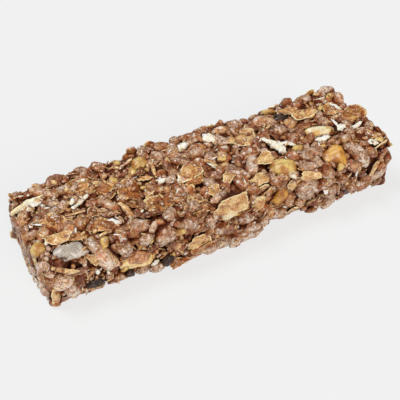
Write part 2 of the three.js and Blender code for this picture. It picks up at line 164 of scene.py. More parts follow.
# Smaller pieces that show plainly and aren't in the CAD part, in the same terms
DETAILS = [
    ("puff", "top", (-40.4, 9.4), (4.4, 3.8, 3.6), 20, 1, "tan"),
    ("puff", "top", (-50.3, 2), (5.6, 4, 3.8), 10, 1, "tan"),
    ("puff", "top", (-48.6, 5.8), (4.4, 3.6, 3.4), -30, 1, "brown"),
    ("flake", "top", (-39.8, -9.6), (6.8, 4.8, 1.6), 0, 1, "rim"),
    ("sliver", "top", (-44.1, -1.8), (6.4, 0.8, 0.6), -8, 0.7, "golden"),
    ("sliver", "top", (-56.4, -1.2), (3.6, 0.8, 0.6), -35, 0.7, "white"),
    ("husk", "top", (-34.9, -9.8), (4.8, 1.7, 1), -39, 0.7, "white"),
    ("sliver", "top", (-39.1, -13.2), (4.4, 1, 0.8), 10, 0.8, "golden"),
    ("husk", "top", (-37.3, 11.4), (3.2, 1.1, 0.9), 5, 0.7, "white"),
    ("husk", "top", (-55, 7.9), (9.4, 2.4, 1.4), 14, 0.9, "white"),
    ("puff", "front", (-24.5, 1.8), (5, 3.4, 3.4), 0, 1.8, "brown"),
    ("flake", "front", (-17.2, 1.9), (7, 3.8, 2.4), 5, 1.4, "rim"),
    ("puff", "front", (-11.8, 1.9), (6.6, 3.8, 3.8), 10, 1.2, "brown"),
    ("puff", "front", (-6.4, 2), (6, 3.8, 3.8), -5, 1.6, "tan"),
    ("puff", "front", (-1.4, 2.3), (7, 4.4, 4.2), -6, 1.9, "tan"),
    ("puff", "front", (2.6, 1.9), (6, 4, 5), 4, 2.8, "brown"),
    ("puff", "front", (8.6, 5.6), (5.6, 4, 4), -20, 2, "brown"),
    ("puff", "front", (9.6, 2.4), (5.4, 4.2, 4.2), -12, 2, "brown"),
    ("flake", "front", (-2.4, 17.3), (5.6, 4.8, 1.7), -40, 1.2, "golden"),
    ("husk", "top", (-18.5, 3.8), (4.6, 2, 1.2), 0, 0.8, "golden"),
    ("husk", "top", (-13.9, 0.9), (3.6, 2.8, 1.6), 30, 0.9, "white"),
    ("puff", "top", (-11.4, -0.5), (3.8, 3.4, 3.2), 0, 1, "tan"),
    ("flake", "top", (-4.6, -4.3), (7, 3.8, 1.6), 15, 0.9, "rim"),
    ("flake", "top", (-8.9, -7.3), (5, 4.6, 1.7), 0, 1, "rim"),
    ("flake", "top", (-1.8, -11.1), (5, 3.8, 1.5), 30, 1, "golden"),
    ("flake", "top", (-8.5, -12), (5, 4.2, 1.5), -20, 1, "golden"),
    ("chunk", "top", (7.4, 0.1), (3.4, 3, 2.8), 0, 1, "nut"),
    ("flake", "top", (5.2, -8.2), (5, 3.6, 1.5), 40, 1, "golden"),
    ("flake", "top", (38.2, 12.3), (7, 3.4, 1.5), -10, 0.9, "golden"),
    ("husk", "top", (41.3, -5.5), (5.2, 2.2, 1.4), -12, 0.9, "white"),
    ("chunk", "top", (32.1, -5.3), (3.8, 3.4, 3), 0, 0.9, "nut"),
    ("chunk", "top", (55.4, -0.6), (3.6, 3.2, 2.8), 0, 1, "nut"),
    ("flake", "front", (-44.9, 15.6), (6, 2.4, 1.2), -64, 1, "golden"),
    ("chunk", "front", (-16.7, 15.5), (3.6, 3, 2.8), 20, 1.2, "nut"),
    ("flake", "front", (-9, 4.1), (7.6, 3, 1.5), 8, 1.3, "rim"),
    ("chunk", "front", (41.1, 17.7), (3.2, 2.6, 2.4), 0, 1.2, "nut"),
    ("husk", "front", (35.5, 10.7), (4, 1.7, 1.3), 85, 1.5, "white"),
    ("flake", "front", (29.9, 18.5), (7.8, 3, 1.5), -18, 1.6, "golden"),
    ("shred", "front", (55.7, 9.5), (6.4, 2.2, 1.6), 56, 1.2, "golden"),
    ("puff", "front", (-27.4, 15.7), (6, 4.6, 4.4), -15, 1.5, "brown"),
    ("flake", "front", (-49.6, 12.4), (7, 2.6, 1.6), -10, 0.9, "red"),
    ("flake", "front", (-48.4, 9), (6.4, 3, 1.6), 12, 0.9, "red"),
    ("flake", "front", (-51.4, 6), (5.4, 3, 1.5), -20, 0.8, "red"),
    ("flake", "front", (-25, 10.6), (5, 2.6, 1.5), 25, 0.8, "red"),
    ("flake", "front", (-18.4, 10.8), (5.6, 3, 1.5), -15, 0.8, "red"),
    ("flake", "top", (23, 9.6), (6, 2.6, 1.4), -10, 0.8, "red"),
    ("flake", "top", (-22.6, -11.4), (6.4, 2.6, 1.4), -5, 0.8, "red"),
    ("flake", "top", (13.6, -13.4), (6.4, 4.6, 1.7), 20, 1.2, "golden"),
    ("flake", "front", (14.6, 8.6), (6, 4.4, 1.6), -35, 1.2, "rim"),
    ("flake", "front", (25.6, 15.6), (5.6, 4, 1.6), 40, 1.2, "golden"),
    ("husk", "top", (29.8, -2.8), (5, 1.7, 1.1), -35, 1, "white"),
    ("husk", "top", (24, 1.4), (4.6, 1.5, 1), -55, 0.9, "white"),
    ("puff", "front", (-29, 2.3), (5, 3.6, 3.6), 0, 1.2, "brown"),
    ("puff", "front", (-37, 2.4), (4.6, 3.4, 3.4), 10, 1, "brown"),
    ("husk", "front", (-25.2, 4.4), (3, 1.4, 1.2), 20, 1.3, "white"),
    ("husk", "top", (53.2, 7.1), (5.4, 1.5, 1.1), -69, 0.9, "white"),
    ("husk", "top", (49.6, -3.4), (4, 2.4, 1.3), 20, 0.9, "white"),
    ("husk", "top", (54.6, -14.6), (3.6, 2.2, 1.3), -30, 1, "white"),
    ("chunk", "top", (54.4, 12.2), (3.4, 2.4, 2.2), 10, 1, "nut"),
    ("husk", "top", (13.4, 6.5), (3.4, 2.2, 1.3), 40, 0.9, "golden"),
    ("husk", "top", (20.7, 9), (5, 1.3, 1), -20, 0.8, "golden"),
]

ENDS = ("left", "right")
# Pieces are set out on five sides, and each side takes its share by its area
AREAS = {
    "top": LENGTH * WIDTH,
    "front": LENGTH * HEIGHT,
    "back": LENGTH * HEIGHT,
    "left": WIDTH * HEIGHT,
    "right": WIDTH * HEIGHT,
}


def fraction(value):
    """A value without its whole part."""
    return value - np.floor(value)


def spread(count, step):
    """Even steps between 0 and 1: the fraction of one half plus count times step."""
    return fraction(0.5 + count * STEP[step])


def dot(a, b):
    """The scalar product along the last axis, kept as an axis of length 1."""
    return np.sum(a * b, axis=-1, keepdims=True)


def unit(vectors):
    """Vectors divided by their lengths."""
    return vectors / np.sqrt(dot(vectors, vectors))


def hump(x, at, over):
    """A smooth hump of height 1: exp(-((x - at) / over) squared)."""
    return np.exp(-(((x - at) / over) ** 2))


def swelling(rows, x):
    """The sum over rows of by times a hump at a place, over a width."""
    return sum(by * hump(x, at, over) for at, over, by in rows)


def worn_away(y):
    """How far the right end is worn back: a smooth step from 0 at the front to 3.2 at the back."""
    return 1.6 + 1.6 * np.tanh((y - 2) / 1.5)


def skin(box):
    """The skin of the block at points of the sharp box round it, and the outward directions there.

    The box is shrunk by the rounding and a ball of the rounding's radii is added. Then the block bends
    sideways by a sine, the long sides swell by their rows and the top waves by sines. The right end has a
    hump at the front and is worn at the back. The left end leans in below, waves by a sine and has a hump.
    """
    half = np.array([LENGTH, WIDTH, HEIGHT]) / 2
    centred = box - np.array([0, 0, half[2]])
    inner = np.clip(centred, ROUNDING - half, half - ROUNDING)
    outward = unit((centred - inner) / ROUNDING)
    point = inner + outward * ROUNDING
    point[..., 2] += half[2]
    x, y, z = (point[..., axis].copy() for axis in range(3))
    ox, oy = outward[..., 0], outward[..., 1]
    bend = 0.3 + 0.3 * np.sin(x / 21 + 0.8)
    waves = 0.022 * np.sin(x / 8.5 + 1) + 0.02 * np.sin(y / 5 + x / 14)
    leaning = 1.3 * (1 - z / HEIGHT) - 0.5 * np.sin(y / 5 + 1)
    point[..., 1] += bend
    point[..., 1] -= np.maximum(-oy, 0) * swelling(FRONT_SWELLINGS, x)
    point[..., 1] += np.maximum(oy, 0) * swelling(BACK_SWELLINGS, x)
    point[..., 2] *= 1 + waves
    point[..., 0] += np.maximum(ox, 0) * (1.1 * hump(y, -9, 7) - worn_away(y))
    point[..., 0] += np.maximum(-ox, 0) * (leaning - 0.8 * hump(y, -5, 9))
    return point, outward


def on_box(side, a, b):
    """Points of the sharp box at places a, b of a side: x, y on top, x, z on a long side, y, z on an end."""
    flat = np.zeros_like(a)
    return {
        "top": lambda: np.stack([a, b, flat + HEIGHT], -1),
        "front": lambda: np.stack([a, flat - WIDTH / 2, b], -1),
        "back": lambda: np.stack([a, flat + WIDTH / 2, b], -1),
        "left": lambda: np.stack([flat - LENGTH / 2, a, b], -1),
        "right": lambda: np.stack([flat + LENGTH / 2, a, b], -1),
    }[side]()


class Pieces:
    """Many pieces of food as arrays: where each sits on the skin, its axes, size, seed and tone."""

    FIELDS = ("point", "outward", "along", "across", "up", "middle", "size", "seed", "tone")

    def __init__(self, **fields):
        self.__dict__.update(fields)

    def __len__(self):
        return len(self.seed)

    def pick(self, which):
        """Only the pieces that which marks or lists."""
        return Pieces(**{name: getattr(self, name)[which] for name in self.FIELDS})

    def radius(self):
        """Half the mean of each piece's length and width."""
        return self.size[:, :2].mean(axis=1) / 2

    @classmethod
    def seated(cls, side, a, b, size, turn, tilt, proud, seed, tone):
        """Pieces on one side: their length turns by turn in the skin, their width tips by tilt, and their
        middle lies half their height below proud."""
        numbers = (a, b, turn, tilt, proud, seed, tone)
        a, b, turn, tilt, proud, seed, tone = (np.atleast_1d(np.asarray(n, float)) for n in numbers)
        size = np.atleast_2d(np.asarray(size, float))
        point, outward = skin(on_box(side, a, b))
        level = np.array([0.0, 1, 0] if side in ENDS else [1.0, 0, 0])
        flat = unit(level - outward * dot(outward, level))
        turn, tilt = np.radians(turn)[:, None], np.radians(tilt)[:, None]
        along = flat * np.cos(turn) + np.cross(outward, flat) * np.sin(turn)
        up = outward * np.cos(tilt) + np.cross(along, outward) * np.sin(tilt)
        return cls(
            point=point,
            outward=outward,
            along=along,
            across=np.cross(up, along),
            up=up,
            middle=point + outward * (proud[:, None] - size[:, 2:] / 2),
            size=size,
            seed=seed,
            tone=tone,
        )

    @classmethod
    def joined(cls, groups):
        """All the pieces of the groups, in their order."""
        return cls(**{name: np.concatenate([getattr(g, name) for g in groups]) for name in cls.FIELDS})


# Shapes of the pieces, worked out on directions d from a ball: d holds one row per piece, and each row every
# point of the ball


def ball(rows, columns):
    """Directions of a round grid with closed poles on the x axis, and its faces.

    A point at angles t from the pole and a round it is cos t, sin t cos a, sin t sin a.
    """
    t = np.linspace(0, np.pi, rows)[1:-1, None]
    a = np.linspace(0, 2 * np.pi, columns, endpoint=False)[None, :]
    ring = np.stack([np.cos(t) + 0 * a, np.sin(t) * np.cos(a), np.sin(t) * np.sin(a)], -1).reshape(-1, 3)
    directions = np.concatenate([ring, [[1, 0, 0], [-1, 0, 0]]])
    return directions, *closed_tube(rows - 2, columns)


def closed_tube(rows, columns):
    """The quads of rings of points and the triangles that close its ends round two last points."""
    index = np.arange(rows * columns).reshape(rows, columns)
    after = np.roll(index, -1, axis=1)
    quads = np.stack([index[:-1], index[1:], after[1:], after[:-1]], -1).reshape(-1, 4)
    starts = np.stack([np.full(columns, index.size), index[0], after[0]], -1)
    ends = np.stack([np.full(columns, index.size + 1), after[-1], index[-1]], -1)
    return quads, np.concatenate([starts, ends])


RIPPLE_WAYS = unit(
    np.array([[1, 0.3, 0.5], [-0.4, 1, 0.2], [0.3, -0.5, 1], [1, 1, -0.6], [-0.8, 0.6, 1], [0.5, -1, -0.7]])
)


def ripple(p, seed, pitch):
    """Smooth unevenness near -1 to 1 with bumps a pitch apart: the sum of sines along six ways, each bent by
    another, over 3.2."""
    total = 0
    for k, way in enumerate(RIPPLE_WAYS):
        bend = 1.5 * np.sin(dot(p, RIPPLE_WAYS[k - 2])[..., 0] * 4.1 / pitch + 2.3 * seed + k)
        total = total + np.sin(dot(p, way)[..., 0] * (5.2 + 0.5 * k) / pitch + 1.7 * seed + 1.9 * k + bend)
    return total / 3.2


def valleys(p, seed, pitch, sharpness):
    """Narrow lines of height 1 where a ripple crosses zero: exp(-sharpness times the ripple's size)."""
    return np.exp(-np.abs(ripple(p, seed, pitch)) * sharpness)


def lumps(d, seed, amount):
    """The radius of a lumpy form: 1 plus amount times a product of sines of x and y and half a sine of z."""
    x, y, z = d[..., 0], d[..., 1], d[..., 2]
    wave = np.sin(3.1 * x + 1.3 * seed) * np.sin(2.7 * y + 2.1 * seed)
    return 1 + amount * (wave + 0.5 * np.sin(4.6 * z + seed))


def breaks(d, seed):
    """The radius of a rounded polyhedron with seven flat breaks: a power sum of their planes' distances."""
    sharpness, faces = 9, 7
    total = 0
    for k in range(faces):
        height = 1 - (2 * k + 1) / faces
        ring = math.sqrt(1 - height * height)
        angle = 2.4 * k + seed
        face = ring * np.cos(angle) * d[..., 0] + ring * np.sin(angle) * d[..., 1] + height * d[..., 2]
        total = total + (np.maximum(face, 0) / (0.66 + 0.26 * spread(k + 1, "size"))) ** sharpness
    return np.minimum(1.1, total ** (-1 / sharpness))


def crisp_form(d, seed, half):
    """A puffed pellet: a ball squared by the power 2.4, lumpy, with knobs, dimples and fine creases."""
    full = np.sum(np.abs(d) ** 2.4, axis=-1) ** (-1 / 2.4)
    q = d * (0.95 * full * lumps(d, seed, 0.15))[..., None]
    p = q * half
    creases = valleys(p, seed + 9, 2.2, 6)
    relief = 0.2 * ripple(p, seed, 3.0) + 0.08 * ripple(p, seed + 5, 1.5) - 0.16 * creases + 0.06
    return q * (1 + relief / half.mean(axis=-1))[..., None]


def flake_form(d, seed, half):
    """A rolled flake: a thin disc with a ragged rim, bent like a saddle, crumpled, with layers in steps."""
    x, y, z = d[..., 0], d[..., 1], d[..., 2]
    angle, reach = np.arctan2(y, x), np.hypot(x, y)
    full = (np.abs(x) ** 2.6 + np.abs(y) ** 2.6 + 1e-9) ** (-1 / 2.6) * reach
    teeth = 0.1 * np.sin(3 * angle + seed) + 0.04 * np.sin(7 * angle + 2 * seed)
    teeth = teeth + 0.02 * np.sin(13 * angle + 3 * seed)
    wide = full / np.maximum(reach, 1e-6) * (1 + teeth) * reach
    p = d * half
    bend = 0.4 * (x * x - y * y) * np.cos(seed) + 0.5 * reach**4 * np.sin(2 * angle + seed)
    crumple = 0.18 * ripple(p * [0.5, 1, 0], seed, 2.6) + 0.07 * ripple(p * [1, 1, 0], seed + 3, 1.1)
    layers = 0.3 * np.tanh(4 * ripple(p * [1, 0.6, 0], seed + 6, 4.0)) * (1 - reach**2)
    thick = np.sign(z) * np.abs(z) ** 0.7 * (0.5 - 0.2 * reach**2)
    rise = thick + bend + (crumple + layers) / np.maximum(half[..., 2], 0.5)
    return np.stack([x * wide, y * wide, rise], -1)


def shred_form(d, seed, half):
    """A strip: a long ball, bent sideways by the square of its length, with a wavy body and blunt ends."""
    x, y, z = d[..., 0], d[..., 1], d[..., 2]
    width = (1 - x**2 + 1e-3) ** -0.25 * (0.9 + 0.3 * ripple(d * half * [1, 0, 0], seed, 2.5))
    bend, wave = 0.6 * x * x * np.cos(seed), 0.5 * np.sin(2.2 * x + seed)
    return np.stack([x, y * width + bend, z * width * 0.8 + wave], -1)


def sliver_form(d, seed, half):
    """A thin splinter with pointed ends: a long ball, uneven in width, bent by the square of its length."""
    x, y, z = d[..., 0], d[..., 1], d[..., 2]
    width = 0.85 + 0.3 * ripple(d * half * [1, 0, 0], seed, 2.0)
    bend, wave = 0.5 * x * x * np.cos(seed), 0.4 * np.sin(1.8 * x + seed)
    return np.stack([x, y * width + bend, z * width + wave], -1)


def husk_form(d, seed, half):
    """A torn white shaving: a flat ball with deep notches along its rim, split into strands, and curled."""
    x, y, z = d[..., 0], d[..., 1], d[..., 2]
    notch = 0.16 * np.sin(9 * x + 2 * seed) + 0.12 * np.sin(17 * x + 5 * seed + 3 * y)
    strands = 0.3 * np.sin(7 * y + 2 * x + seed)
    long = 1 + 0.08 * np.sin(5 * y + seed)
    wide = (1 - np.abs(x) ** 3 + 1e-3) ** 0.2 * (1 + notch)
    thick = np.sign(z) * np.abs(z) ** 0.8 * (0.7 + 0.2 * strands)
    rise = thick + 0.3 * strands + 0.25 * ripple(d * half, seed, 2.4)
    return np.stack([x * long, y * wide + 0.25 * np.sin(2 * x + seed), rise], -1)


def peanut_form(d, seed, half):
    """A peanut half: a lumpy ball, slightly squared, with a shallow crease along it and fine unevenness."""
    full = np.sum(np.abs(d) ** 2.2, axis=-1) ** (-1 / 2.2)
    crease = 0.07 * hump(d[..., 1], 0, 0.12) * (d[..., 2] > 0)
    return d * (0.97 * full * lumps(d, seed, 0.05) - crease + 0.02 * ripple(d * half, seed, 1.6))[..., None]


def chunk_form(d, seed, half):
    """A broken piece of nut: a rounded polyhedron with a finely uneven surface."""
    p = d * half
    uneven = 0.03 * ripple(p, seed, 2.2) + 0.012 * ripple(p, seed + 4, 0.9)
    return d * (0.99 * breaks(d, seed) + uneven)[..., None]


def raisin_form(d, seed, half):
    """A raisin: a lumpy ball cut by wrinkles, which are the narrow valleys of two ripples."""
    p = d * half
    wrinkles = 0.10 * valleys(p, seed, 2.0, 4) + 0.05 * valleys(p, seed + 2, 1.1, 4)
    return d * (lumps(d, 3 * seed, 0.12) - wrinkles)[..., None]


# From shapes to objects

EASE = np.array([0.8, 0.8, 0.6])
SIDEWAYS = np.array([1, 1, 0])
CLEARANCE = 0.02  # between the finished bar and the CAD part's bounds
LOWEST = 0.25  # where a piece begins to flatten on the floor
FAR_BELOW = -9.0
GRAIN_STEP, GRAIN_SPAN = np.array([3.1, 5.3, 7.7]), 90  # give each piece its own place in the patterns


def within(points):
    """Points drawn in where they would leave the bar's bounds: what is past a line EASE inside a bound is
    squeezed by one minus a falling exponential. The underside is only cut off level."""
    top, bottom = HIGH - CLEARANCE - EASE, LOW + CLEARANCE + EASE * SIDEWAYS
    over = np.maximum(points - top, 0)
    squeezed = np.minimum(points, top) + EASE * (1 - np.exp(-over / EASE))
    under = np.maximum(bottom - squeezed, 0)
    return np.maximum(squeezed, bottom) - EASE * SIDEWAYS * (1 - np.exp(-under / EASE))


def off_the_floor(z):
    """Heights below LOWEST eased towards the floor: LOWEST times exp(2 (z - LOWEST))."""
    return np.where(z < LOWEST, LOWEST * np.exp((np.minimum(z, LOWEST) - LOWEST) * 2), z)


def past_other_sides(points, pieces):
    """How far points are beyond the box's sides, apart from their own piece's side: the largest distance."""
    beyond = np.abs(points - [0, 0, HEIGHT / 2]) - np.array([LENGTH, WIDTH, HEIGHT]) / 2
    beyond[..., 2] = points[..., 2] - HEIGHT
    own = np.arange(3) == np.abs(pieces.outward).argmax(axis=1)[:, None]
    return np.where(own[:, None, :], FAR_BELOW, beyond).max(axis=-1)


def mesh_of(name, points, quads, triangles, fields):
    """A mesh from arrays in millimetres, with a number or a vector per point for each of the fields."""
    mesh = bpy.data.meshes.new(name)
    corners = np.concatenate([quads.ravel(), triangles.ravel()]).astype(np.int32)
    sides = np.concatenate([np.full(len(quads), 4), np.full(len(triangles), 3)]).astype(np.int32)
    starts = np.concatenate([[0], np.cumsum(sides)[:-1]]).astype(np.int32)
    mesh.vertices.add(len(points))
    mesh.vertices.foreach_set("co", (within(points) * MM).astype(np.float32).ravel())
    mesh.loops.add(len(corners))
    mesh.loops.foreach_set("vertex_index", corners)
    mesh.polygons.add(len(sides))
    mesh.polygons.foreach_set("loop_start", starts)
    mesh.polygons.foreach_set("use_smooth", np.ones(len(sides), bool))
    for field, values in fields.items():
        kind, key = ("FLOAT_VECTOR", "vector") if values.ndim == 2 else ("FLOAT", "value")
        made = mesh.attributes.new(field, kind, "POINT")
        made.data.foreach_set(key, values.astype(np.float32).ravel())
    mesh.update(calc_edges=True)
    mesh.validate()
    return mesh


def shown(name, mesh, material, node=None):
    """The mesh as an object that rides on the bar, in the place of a CAD node if one is named."""
    piece = bpy.data.objects.new(name, mesh)
    bpy.context.scene.collection.objects.link(piece)
    mesh.materials.append(material)
    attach(piece, "root")
    if node:
        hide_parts(node)


def moulded(name, pieces, form, grid, material, node=None):
    """One object of all the pieces: each a ball reshaped by form, scaled to its size, turned and seated.

    Its points hold what the materials read: rim and across are the ball's own, tone is the piece's, rise is
    the height over the skin, crown falls from 1 at a piece's outermost point, and grain is the place in it.
    """
    directions, quads, triangles = ball(*grid)
    count = len(pieces)
    half = pieces.size[:, None, :] / 2
    place = form(np.broadcast_to(directions, (count, *directions.shape)), pieces.seed[:, None], half) * half
    turned = place @ np.stack([pieces.along, pieces.across, pieces.up], 1)
    points = pieces.middle[:, None, :] + turned
    outward = pieces.outward[:, None, :]
    beyond = past_other_sides(points, pieces)
    rise = np.maximum(np.sum((points - pieces.point[:, None, :]) * outward, -1), beyond)
    crown = np.maximum(np.sum(turned * outward, -1) / half[..., 2], np.minimum(beyond, 0.6))
    points[..., 2] = off_the_floor(points[..., 2])
    fields = {
        "rim": np.tile(np.hypot(directions[:, 0], directions[:, 1]), count),
        "across": np.tile(directions[:, 1], count),
        "tone": np.repeat(pieces.tone, len(directions)),
        "rise": rise.ravel(),
        "crown": crown.ravel(),
        "grain": (place + (pieces.seed[:, None, None] * GRAIN_STEP) % GRAIN_SPAN).reshape(-1, 3),
    }
    each = (np.arange(count) * len(directions))[:, None, None]
    quads, triangles = (quads + each).reshape(-1, 4), (triangles + each).reshape(-1, 3)
    shown(name, mesh_of(name, points.reshape(-1, 3), quads, triangles, fields), material, node)


# Shader values with arithmetic, and the materials

COLOUR_A, COLOUR_B, MIXED = 6, 7, 2  # sockets of a Mix node that mixes colours


class Value:
    """A number in a shader, with Python's arithmetic."""

    def __init__(self, surface, socket):
        self.surface, self.socket = surface, socket

    def work(self, operation, *others):
        """The result of a Math node on this number and others."""
        made = self.surface.node("ShaderNodeMath", {"operation": operation}, dict(enumerate((self, *others))))
        return Value(self.surface, made.outputs[0])

    def __add__(self, other):
        return self.work("ADD", other)

    __radd__ = __add__

    def __sub__(self, other):
        return self.work("SUBTRACT", other)

    def __rsub__(self, other):
        return (self * -1).work("ADD", other)

    def __mul__(self, other):
        return self.work("MULTIPLY", other)

    __rmul__ = __mul__

    def ramp(self, start, end):
        """0 at start, 1 at end, and smooth between them, either way round."""
        inputs = {"Value": self, "From Min": start, "From Max": end}
        made = self.surface.node("ShaderNodeMapRange", {"interpolation_type": "SMOOTHSTEP"}, inputs)
        return Value(self.surface, made.outputs["Result"])


class Surface:
    """A material whose nodes are made by calls."""

    def __init__(self, name):
        self.material = bpy.data.materials.new(name)
        self.material.use_nodes = True
        self.tree = self.material.node_tree
        self.shader = self.tree.nodes["Principled BSDF"]

    def put(self, socket, value):
        """A link to the socket, or its own value."""
        if isinstance(value, Value):
            value = value.socket
        if isinstance(value, bpy.types.NodeSocket):
            self.tree.links.new(value, socket)
        else:
            socket.default_value = value

    def node(self, kind, settings=None, inputs=None):
        """A node of any kind, with its settings made first and then the values or links of its sockets."""
        made = self.tree.nodes.new(kind)
        for name, value in (settings or {}).items():
            setattr(made, name, value)
        for name, value in (inputs or {}).items():
            self.put(made.inputs[name], value)
        return made

    def field(self, name):
        """A number that the mesh holds at each point."""
        return Value(self, self.node("ShaderNodeAttribute", {"attribute_name": name}).outputs["Fac"])

    def noise(self, scale, detail, roughness, distortion=0.0):
        """Noise over the place in the piece in millimetres, which differs from piece to piece."""
        inputs = {
            "Vector": self.node("ShaderNodeAttribute", {"attribute_name": "grain"}).outputs["Vector"],
            "Scale": scale,
            "Detail": detail,
            "Roughness": roughness,
            "Distortion": distortion,
        }
        return Value(self, self.node("ShaderNodeTexNoise", {}, inputs).outputs["Fac"])

    def lines(self, scale, detail, roughness, distortion):
        """The distance from the lines where a noise is one half."""
        return (self.noise(scale, detail, roughness, distortion) - 0.5).work("ABSOLUTE")

    def mix(self, factor, a, b):
        """Colour a at factor 0 and colour b at factor 1."""
        a, b = ((*colour, 1) if isinstance(colour, tuple) else colour for colour in (a, b))
        inputs = {0: factor, COLOUR_A: a, COLOUR_B: b}
        return self.node("ShaderNodeMix", {"data_type": "RGBA"}, inputs).outputs[MIXED]

    def bump(self, height, distance, strength, under=None):
        """A normal raised by a height, on top of the one under it."""
        inputs = {"Height": height, "Distance": distance, "Strength": strength}
        if under is not None:
            inputs["Normal"] = under
        return self.node("ShaderNodeBump", {}, inputs).outputs[0]

    def finish(self, **inputs):
        """The material, with the shader's sockets set."""
        for name, value in inputs.items():
            self.put(self.shader.inputs[name.replace("_", " ")], value)
        return self.material


# The first colour is a pale painted sheen, standing for highlights on the highest places of coated pieces;
# the second is bare oat.
PAINTED_SHEEN_COLOUR, BARE_OAT = (0.82, 0.73, 0.63), (0.86, 0.62, 0.28)


def tinted(colour, tint):
    """A colour times a tint, channel by channel."""
    return tuple(a * b for a, b in zip(colour, tint))


def syrup_coated(name, light, middle, dark, glaze, painted_sheen, bare_rim=0.0):
    """Cereal in chocolate syrup: light on its crown, partly where the coat is thin and partly painted light,
    red-brown down its sides, partly the coat and partly painted shade, dark in hollows and creases, partly
    where the syrup has pooled and partly painted shade, and with a pale painted sheen for highlights on the
    highest places."""
    s = Surface(name)
    tone, rise, crown = s.field("tone"), s.field("rise"), s.field("crown")
    blotches, fine = s.noise(0.42, 4, 0.55), s.noise(1.3, 3, 0.6)
    creases = s.lines(0.6, 3, 0.55, 0.8)
    # How thin the coat is, by its blotches and tone, and also larger towards each piece's crown so that
    # crowns come out lighter: partly the coat and partly painted light
    thin = 1.5 * blotches + 0.8 * fine + 0.34 * tone + 0.22 * crown.work("MINIMUM", 1.0) + 0.05 * rise
    redder, golden = tinted(middle, (1.04, 0.82, 0.8)), tinted(middle, (1.04, 1.25, 0.9))
    amber, warm = tinted(light, (0.98, 0.76, 0.46)), tinted(middle, (0.66, 0.38, 0.24))
    colour = s.mix(s.noise(0.5, 3, 0.6, 0.6).ramp(0.44, 0.6), redder, golden)
    # Light and amber where the coat is thin and on the crowns, red-brown where it is thick and down the
    # sides: partly the coat's own colour, partly painted light and painted shade
    colour = s.mix(thin.ramp(1.32, 1.72), colour, s.mix(tone.ramp(0.25, 0.6), amber, light))
    colour = s.mix(thin.ramp(1.42, 1.0), colour, warm)
    # Dark lines in the creases, and dark low on each piece and below the skin in hollows: partly syrup pooled
    # there, partly painted shade
    colour = s.mix(creases.ramp(0.045, 0.0) * 0.85, colour, dark)
    colour = s.mix((rise + 1.4 * fine + 0.3 * crown).ramp(0.7, -0.5), colour, dark)
    # A pale painted sheen, standing for highlights, in spots that favour the highest places of each piece
    painted_sheen_spots = (s.noise(0.8, 3, 0.55, 0.5) + 0.05 * rise + 0.05 * crown).ramp(0.62, 0.74)
    colour = s.mix(painted_sheen_spots * painted_sheen, colour, PAINTED_SHEEN_COLOUR)
    if bare_rim:
        rim = (s.field("rim") + 0.9 * (fine + blotches - 1)).ramp(0.88, 1.02)
        colour = s.mix(rim * bare_rim, colour, BARE_OAT)
    relief = s.bump(0.6 * fine + blotches, 0.9 * MM, 0.7)
    return s.finish(
        Base_Color=colour,
        Roughness=0.3 + 0.3 * fine,
        Normal=s.bump(creases.ramp(0.0, 0.06), 0.3 * MM, 0.6, relief),
        Specular_IOR_Level=0.2,
        Coat_Weight=(0.6 * blotches + 0.25 * tone + 0.3 * crown).ramp(0.3, 0.8) * glaze,
        Coat_Roughness=0.28,
    )


def bare(name, pale, deep, coated, rough, coat, cover, inner, skinned=None, rim_colour=None, grainy=0.2):
    """Nut, coconut or oat with little syrup: pale to deep by blotches and a little paler towards its crown,
    which is painted light, with veins, coated where the syrup has run over it, and darker in hollows, partly
    syrup and partly painted shade. A nut may keep its skin in the middle, and a flake may have a paler rim."""
    s = Surface(name)
    tone, rise, crown = s.field("tone"), s.field("rise"), s.field("crown")
    blotches, fine = s.noise(0.3, 4, 0.55), s.noise(1.5, 3, 0.6)
    runs = 1.6 * s.noise(0.55, 4, 0.6, 0.8) + 0.5 * fine - 0.25 * rise - 0.2 * tone + cover
    # Pale to deep by blotches and grain, and a little paler towards each piece's crown: painted light
    colour = s.mix((1.5 * blotches + grainy * (fine - 0.5) - 0.16 * crown).ramp(0.48, 0.86), pale, deep)
    colour = s.mix(s.lines(0.7, 3, 0.6, 1.2).ramp(0.05, 0.0) * (0.3 + grainy), colour, coated)
    colour = s.mix(runs.ramp(0.9, 1.2), colour, coated)
    if rim_colour:
        rim = (s.field("rim") + 0.4 * (fine + blotches - 1)).ramp(0.86, 0.97)
        colour = s.mix(rim * 0.9, colour, rim_colour)
    if skinned:
        rim = s.field("rim")
        centre = (rim * rim - 0.9 * s.field("across") + 0.2 + 0.5 * (fine + blotches - 1)).ramp(0.5, 0.44)
        colour = s.mix(centre, colour, s.mix((blotches + 0.8 * fine).ramp(0.8, 1.04), skinned, coated))
    # Darker below the skin, in hollows: partly syrup, partly painted shade
    colour = s.mix((rise + fine).ramp(0.0, -0.9), colour, tinted(coated, (0.3, 0.3, 0.3)))
    return s.finish(
        Base_Color=colour,
        Roughness=rough + 0.3 * (fine - 0.5),
        Normal=s.bump((0.3 + grainy) * fine + blotches, 0.6 * MM, 0.6),
        Coat_Weight=coat,
        Coat_Roughness=0.2,
        Subsurface_Weight=inner,
        Subsurface_Radius=(1.0, 0.55, 0.25),
        Subsurface_Scale=1 * MM,
    )


# What each thing is made of

